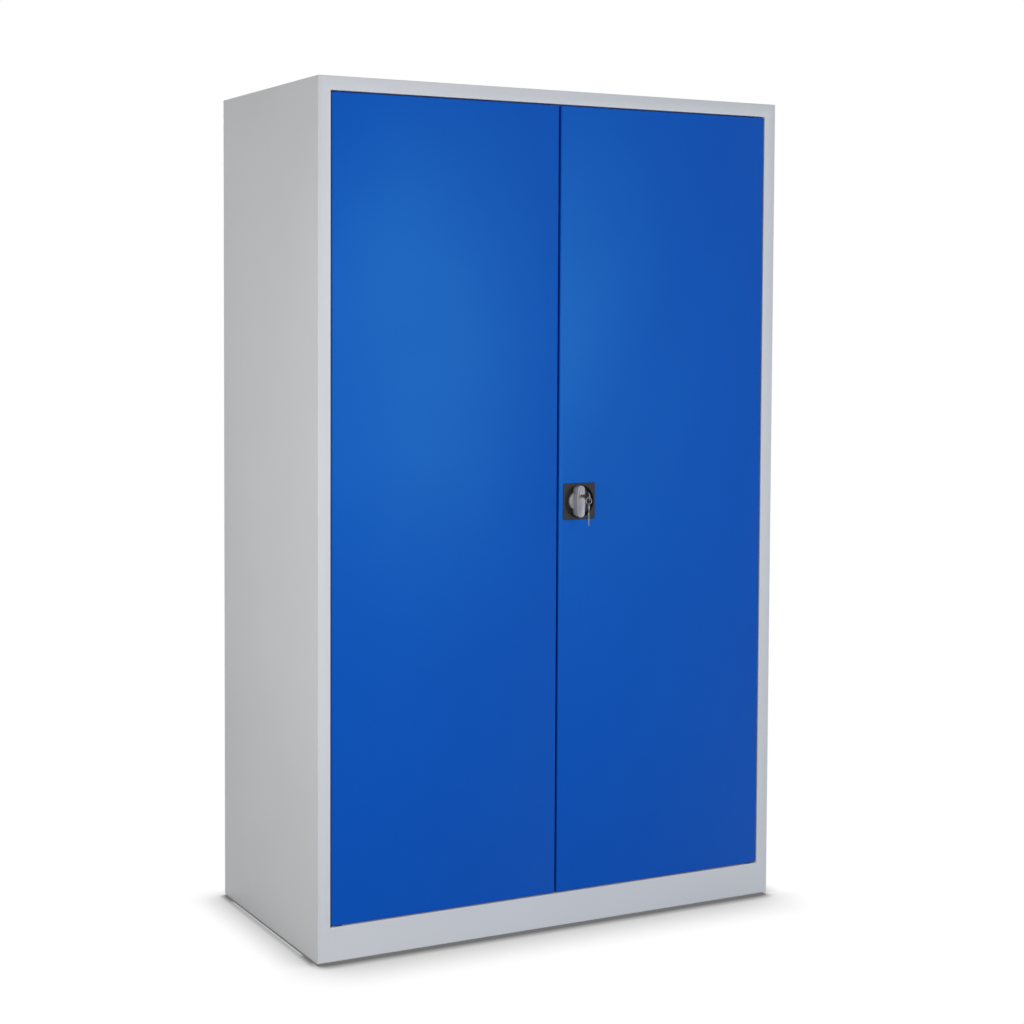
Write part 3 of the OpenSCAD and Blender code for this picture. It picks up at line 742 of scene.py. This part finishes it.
def handlePiece():
    size = handle
    low = corner("handle_grip", 0)
    high = corner("handle_grip", 1)
    discBack = plateHigh.y - lockPlate["floor"] - size["discGap"]
    piece = gripBody(low.y, discBack - 2 * sheet)
    radius = size["discRadius"]
    edge = size["discEdge"]
    top = -size["discThickness"]
    crown = top - size["discCrown"]
    end = high.y - discBack
    hubEnd = plateHigh.y - discBack
    profile = [(0, end), (size["spindleRadius"], end), (size["spindleRadius"], hubEnd),
               (size["hubRadius"], hubEnd), (size["hubRadius"], 0),
               (radius - sheet / 2, 0), (radius, -sheet / 2)]
    profile += arc((radius - edge, top + edge), edge, 0, -90, 8)
    profile += [(size["crownRadius"], crown), (0, crown)]
    cut(piece, turned("disc", (lockX, discBack, lockZ), profile, 96), "UNION")
    radius = size["cylinderRadius"]
    depth = size["cylinderDepth"]
    bore = [(0, -3 * sheet), (radius, -3 * sheet), (radius, depth), (0, depth)]
    cut(piece, turned("bore", (lockX, low.y, lockZ + size["cylinderUp"]), bore, 64))
    smooth(piece, 40)
    place(piece, "handle", "grip_silver", silverCast, "handle_grip")


cylinder = {"play": 0.0001, "edge": 0.0009, "mouth": 0.0004}
plug = {"edge": 0.0005, "keywayHalfWidth": 0.0012, "keywayHalfHeight": 0.0036, "keywayDepth": 0.0122}


def cylinderPiece():
    low = corner("lock_cylinder", 0)
    high = corner("lock_cylinder", 1)
    length = high.y - low.y
    outer = (high.x - low.x) / 2
    inner = (corner("lock_plug", 1).x - corner("lock_plug", 0).x) / 2 + cylinder["play"]
    edge = cylinder["edge"]
    mouth = cylinder["mouth"]
    profile = [(inner, mouth), (inner + mouth, 0), (outer - edge, 0)]
    profile += arc((outer - edge, edge), edge, -90, 0, 5)[1:]
    profile += [(outer, length), (inner, length), (inner, mouth)]
    piece = turned("lockCylinder", (lockX, low.y, (low.z + high.z) / 2), profile, 64)
    smooth(piece)
    place(piece, "handle", "lock_chrome", chrome, "lock_cylinder")


def plugPiece():
    low = corner("lock_plug", 0)
    high = corner("lock_plug", 1)
    radius = (high.x - low.x) / 2
    length = high.y - low.y
    middle = (low.z + high.z) / 2
    profile = [(0, 0), (radius - plug["edge"], 0), (radius, plug["edge"]), (radius, length), (0, length)]
    piece = turned("lockPlug", (lockX, low.y, middle), profile, 48)
    across = plug["keywayHalfWidth"]
    up = plug["keywayHalfHeight"]
    cut(piece, addCube("keyway", (lockX - across, low.y - sheet, middle - up),
                       (lockX + across, low.y + plug["keywayDepth"], middle + up)))
    smooth(piece)
    place(piece, "key", "lock_chrome", plugBrass, "lock_plug")


handlePiece()
cylinderPiece()
plugPiece()
print("handle ready")


# Keys: a round bow with a pressed field, and a toothed blade with a groove along each side

key = {
    "thickness": 0.0022,
    "bowRadius": 0.012,
    "holeRadius": 0.0025,
    "holeOut": 0.007,
    "fieldInset": 0.0022,
    "fieldDepth": 0.0004,
    "bladeHeight": 0.007,
    "grooveHeight": 0.0016,
    "grooveDepth": 0.0005,
    "edge": 0.00022,
    "collarThickness": 0.0026,
    "collarBehind": 0.003,
    "collarAhead": 0.0018,
    "collarOver": 0.0008,
    "bladeThickness": 0.0020,
    "bladeBehind": 0.002,
    "grooveStart": 0.004,
    "grooveDown": 0.0004,
    "tipTop": 0.003,
    "tipBottom": 0.0016,
    "toothDepths": (0.0, 0.0, 0.0, 0.0, 0.0012, 0.0020, 0.0008, 0.0018, 0.0010, 0.0022, 0.0014, 0.0),
    "spareTurn": 25,
    "ringTurns": 1.93,
    "ringFill": 0.96,
}


def keyBlank(name, length):
    # the key lies in the YZ plane with its bow at the origin and its blade towards +Y
    size = key
    half = size["thickness"] / 2
    deselectAll()
    bpy.ops.mesh.primitive_circle_add(vertices=56, radius=size["bowRadius"], fill_type="NGON",
                                      location=(-half, 0, 0), rotation=(0, math.pi / 2, 0))
    piece = named(name)
    edit(piece)
    bpy.ops.mesh.select_all(action="SELECT")
    extrude(x=size["thickness"])
    for side in (-1, 1):
        pick("FACE", lambda p: near(p.x, side * half))
        inset(size["fieldInset"])
        extrude(x=-side * size["fieldDepth"])
    outwards()
    leave()
    roundEdges(piece, size["edge"], 2, 50)
    thick = size["collarThickness"] / 2
    high = size["bladeHeight"] / 2 + size["collarOver"]
    collar = addCube("collar", (-thick, size["bowRadius"] - size["collarBehind"], -high),
                     (thick, size["bowRadius"] + size["collarAhead"], high))
    roundEdges(collar, size["edge"], 2)
    cut(piece, collar, "UNION")
    cut(piece, keyBlade(length), "UNION")
    centre = (0, -size["holeOut"], 0)
    radius = size["holeRadius"]
    reach = 4 * sheet
    hole = turned("keyHole", centre, [(0, -reach), (radius, -reach), (radius, reach), (0, reach)], 32)
    activate(hole)
    bpy.ops.transform.rotate(value=math.pi / 2, orient_axis="Z", center_override=centre)
    bake(hole)
    cut(piece, hole)
    return piece


def keyBlade(length):
    # from inside the bow to the tip, with its teeth on the upper side
    size = key
    half = size["bladeThickness"] / 2
    start = size["bowRadius"] - size["bladeBehind"]
    end = size["bowRadius"] + length
    high = size["bladeHeight"] / 2
    piece = addCube("blade", (-half, start, -high), (half, end, high))
    edit(piece)
    pickLengthways()
    cuts = len(size["toothDepths"])
    bpy.ops.mesh.subdivide(number_cuts=cuts)
    step = (end - start) / (cuts + 1)
    for i, depth in enumerate(size["toothDepths"]):
        if depth:
            pick("VERT", lambda p: p.z > 0 and near(p.y, start + step * (i + 1)))
            move(z=-depth)
    # the tip is cut back to a point
    pick("VERT", lambda p: near(p.y, end) and p.z > 0)
    move(z=-size["tipTop"])
    pick("VERT", lambda p: near(p.y, end) and p.z < 0)
    move(z=size["tipBottom"])
    outwards()
    leave()
    top = -size["grooveDown"]
    for side in (-1, 1):
        low = (side * half - size["grooveDepth"], start + size["grooveStart"], top - size["grooveHeight"])
        cut(piece, addCube("groove", low, (side * half + size["grooveDepth"], end + sheet, top)))
    roundEdges(piece, size["edge"] * 0.6, 1)
    return piece


def doorKey():
    low = corner("door_key", 0)
    high = corner("door_key", 1)
    middle = Vector((lockX, low.y + key["bowRadius"], (low.z + high.z) / 2))
    piece = keyBlank("doorKey", high.y - middle.y - key["bowRadius"])
    activate(piece)
    move(*middle)
    bake(piece)
    smooth(piece)
    place(piece, "key", "key_steel", keyNickel, "door_key")


def spareKey():
    low = corner("spare_key", 0)
    high = corner("spare_key", 1)
    middle = Vector((lockX, (low.y + high.y) / 2, high.z - key["bowRadius"]))
    piece = keyBlank("spareKey", middle.z - low.z - key["bowRadius"])
    activate(piece)
    for angle, axis in ((90, "X"), (key["spareTurn"], "Z")):
        bpy.ops.transform.rotate(value=math.radians(angle), orient_axis=axis, center_override=(0, 0, 0))
    move(*middle)
    bake(piece)
    smooth(piece)
    place(piece, "key_ring", "key_steel", keyNickel, "spare_key")


def keyRing():
    # flat wire wound in nearly two turns that lie one behind the other
    low = corner("key_ring", 0)
    high = corner("key_ring", 1)
    wire = high.y - low.y
    layer = wire / (key["ringTurns"] + 1)
    middle = (low + high) / 2
    start = middle + Vector(((high.x - low.x - wire) / 2, (layer - wire) / 2, 0))
    radius = layer / 2 * key["ringFill"]
    deselectAll()
    bpy.ops.mesh.primitive_circle_add(vertices=16, radius=radius, fill_type="NGON", location=start)
    piece = named("keyRing")
    edit(piece)
    bpy.ops.mesh.select_all(action="SELECT")
    bpy.ops.transform.resize(value=(wire / layer, 1, 1), center_override=start)
    leave()
    deselectAll()
    bpy.ops.object.empty_add(location=middle)
    pivot = bpy.context.object
    modify(piece, "SCREW", axis="Y", object=pivot, steps=96, render_steps=96,
           angle=math.tau * key["ringTurns"], screw_offset=layer * key["ringTurns"])
    bpy.data.objects.remove(pivot, do_unlink=True)
    edit(piece)
    bpy.ops.mesh.select_all(action="SELECT")
    bpy.ops.mesh.fill_holes(sides=0)
    outwards()
    leave()
    smooth(piece)
    place(piece, "key_ring", "key_steel", ringSteel, "key_ring")


doorKey()
spareKey()
keyRing()
print("keys ready")


# Nodes that keep their shape and get their finish here

nodeFinishes = {
    greyPaint: ["back_panel", "top_stop_angle", "floor_stop_angle", "left_front_upright",
                "left_rear_upright", "right_front_upright", "right_rear_upright",
                "shelf_1", "shelf_2", "shelf_3", "shelf_4"],
    stiffenerPaint: ["left_door_stiffener", "right_door_stiffener"],
    zinc: ["corner_gussets", "shelf_clips_1", "shelf_clips_2", "shelf_clips_3", "shelf_clips_4",
           "lock_retainer", "lock_screws", "handle_circlip", "lock_cam", "cam_nut", "upper_rod", "lower_rod"],
    # painted shade: the pins, washers and bushes get a darkened zinc for the door gaps
    pinZincPaintedShade: ["hinge_pins", "hinge_washers", "left_door_bushes", "right_door_bushes"],
    blackPlastic: ["rod_guides"],
    footFinish(): ["levelling_feet"],
}
for finish, nodes in nodeFinishes.items():
    for node in nodes:
        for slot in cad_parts[node].material_slots:
            slot.material = finish.material
print("carried-over nodes painted")


# Studio: pale floor, white surroundings, soft light

studio = {
    "world": 0.385,
    "floorSize": 60,
    "floorColour": 0.80,
    "floorShade": 0.784,
    "shadowFront": 0.18,
    "shadowLeft": 0.10,
    "shadowRest": 0.06,
    "shadowClose": 0.20,
    "shadowUnder": 0.17,
}

# the side light is a wide soft spot that brightens the middle of the left side
lights = {
    "keyLight": {"at": (-2.5, -2.5, 1.15), "to": (-0.3, -0.27, 1.2), "size": 2.6, "watts": 42.0,
                 "colour": (1.0, 0.972, 0.945)},
    "sheenLight": {"at": (1.2, -4.4, 1.6), "to": (-0.2, -0.27, 1.4), "size": 2.5, "watts": 66.0,
                   "colour": (0.82, 0.86, 1.0)},
    "backLight": {"at": (0.8, 4.8, 2.2), "to": (0, 0.33, 1.0), "size": 3.0, "watts": 85.0,
                  "colour": (1.0, 1.0, 1.0)},
    "sideLight": {"at": (-4.0, -1.0, 1.35), "to": (-0.6, -0.45, 1.15), "size": 0.6, "watts": 69.0,
                  "colour": (1.0, 1.0, 1.0), "cone": 36},
}


def softLight(name, light):
    deselectAll()
    bpy.ops.object.light_add(type="SPOT" if "cone" in light else "AREA", location=light["at"])
    lamp = bpy.context.object
    lamp.name = name
    if "cone" in light:
        lamp.data.shadow_soft_size = light["size"] / 2
        lamp.data.spot_size = math.radians(light["cone"])
        lamp.data.spot_blend = 1.0
    else:
        lamp.data.shape = "DISK"
        lamp.data.size = light["size"]
    lamp.data.energy = light["watts"]
    lamp.data.color = light["colour"]
    aim = Vector(light["to"]) - Vector(light["at"])
    lamp.rotation_euler = aim.to_track_quat("-Z", "Y").to_euler()


def floorFinish():
    # white as far as the camera sees it, but for the soft shadow where something stands close
    finish = Finish("paleFloor")
    speck = finish.mixed(finish.noise(60.0), [studio["floorColour"]] * 3 + [1.0],
                         [studio["floorShade"]] * 3 + [1.0])
    plain = finish.node("BsdfDiffuse", {}, {"Color": speck})
    # how far the shadow reaches: most in front, less on the left, least on the right and behind
    x, y, z = finish.split()
    middle = (shellLow.y + shellHigh.y) / 2
    aside = abs(x) - shellHigh.x
    along = abs(y - middle) - (shellHigh.y - middle)
    under = (aside < 0.0) * (along < 0.0)
    aside, along = [distance.join("MAXIMUM", distance) for distance in (aside, along)]
    share = aside.join("DIVIDE", aside, aside + along + 1e-6)
    rest = studio["shadowRest"]
    left = (x < 0.0) * share * (studio["shadowLeft"] - rest)
    front = (y < middle) * (1 - share) * (studio["shadowFront"] - rest)
    reach = rest + left + front
    wide, close = [finish.node("AmbientOcclusion", {"samples": 16}, {"Distance": reach * part}, "AO")
                   for part in (1.0, studio["shadowClose"])]
    light = wide * close * close * (1 - under) + under * studio["shadowUnder"]
    glow = finish.mixed(light, (0, 0, 0, 1), (1, 1, 1, 1))
    white = finish.node("Emission", {}, {"Color": glow, "Strength": 1.0})
    both = finish.node("MixShader", {}, {0: finish.seen(), 1: plain, 2: white})
    finish.links.new(both.socket, finish.nodes["Material Output"].inputs["Surface"])
    return finish


def surroundings():
    world = bpy.data.worlds.new("whiteStudio")
    bpy.context.scene.world = world
    bench = Bench(world)
    strength = studio["world"] + bench.seen() * (1 - studio["world"])
    bench.nodes["Background"].inputs["Color"].default_value = (1, 1, 1, 1)
    bench.links.new(strength.socket, bench.nodes["Background"].inputs["Strength"])


def studioFloor():
    deselectAll()
    bpy.ops.mesh.primitive_plane_add(size=studio["floorSize"], location=(0, 0, 0))
    floor = named("studioFloor")
    floor.data.materials.append(floorFinish().material)


studioFloor()
surroundings()
for name, light in lights.items():
    softLight(name, light)


# Camera: solved from the corners of the cabinet in the photograph

shot = {
    "at": (-2.23168, -4.23309, 1.43777),
    "yaw": 28.0271,
    "pitch": 2.8545,
    "roll": 0.2973,
    "lens": 69.155,
    "sensor": 36,
    "shiftY": -0.0978,
}


def camera():
    yaw, pitch, roll = [math.radians(shot[name]) for name in ("yaw", "pitch", "roll")]
    level = math.cos(pitch)
    ahead = Vector((math.sin(yaw) * level, math.cos(yaw) * level, -math.sin(pitch)))
    right = Vector((math.cos(yaw), -math.sin(yaw), 0))
    up = right.cross(ahead)
    across = right * math.cos(roll) + up * math.sin(roll)
    upright = -right * math.sin(roll) + up * math.cos(roll)
    deselectAll()
    bpy.ops.object.camera_add()
    view = bpy.context.object
    view.name = "photoCamera"
    turn = Matrix((across, upright, -ahead)).transposed()
    view.matrix_world = Matrix.Translation(shot["at"]) @ turn.to_4x4()
    view.data.lens = shot["lens"]
    view.data.sensor_width = shot["sensor"]
    view.data.shift_y = shot["shiftY"]
    bpy.context.scene.camera = view


camera()
bpy.context.scene.view_settings.view_transform = "Standard"
print("studio ready")
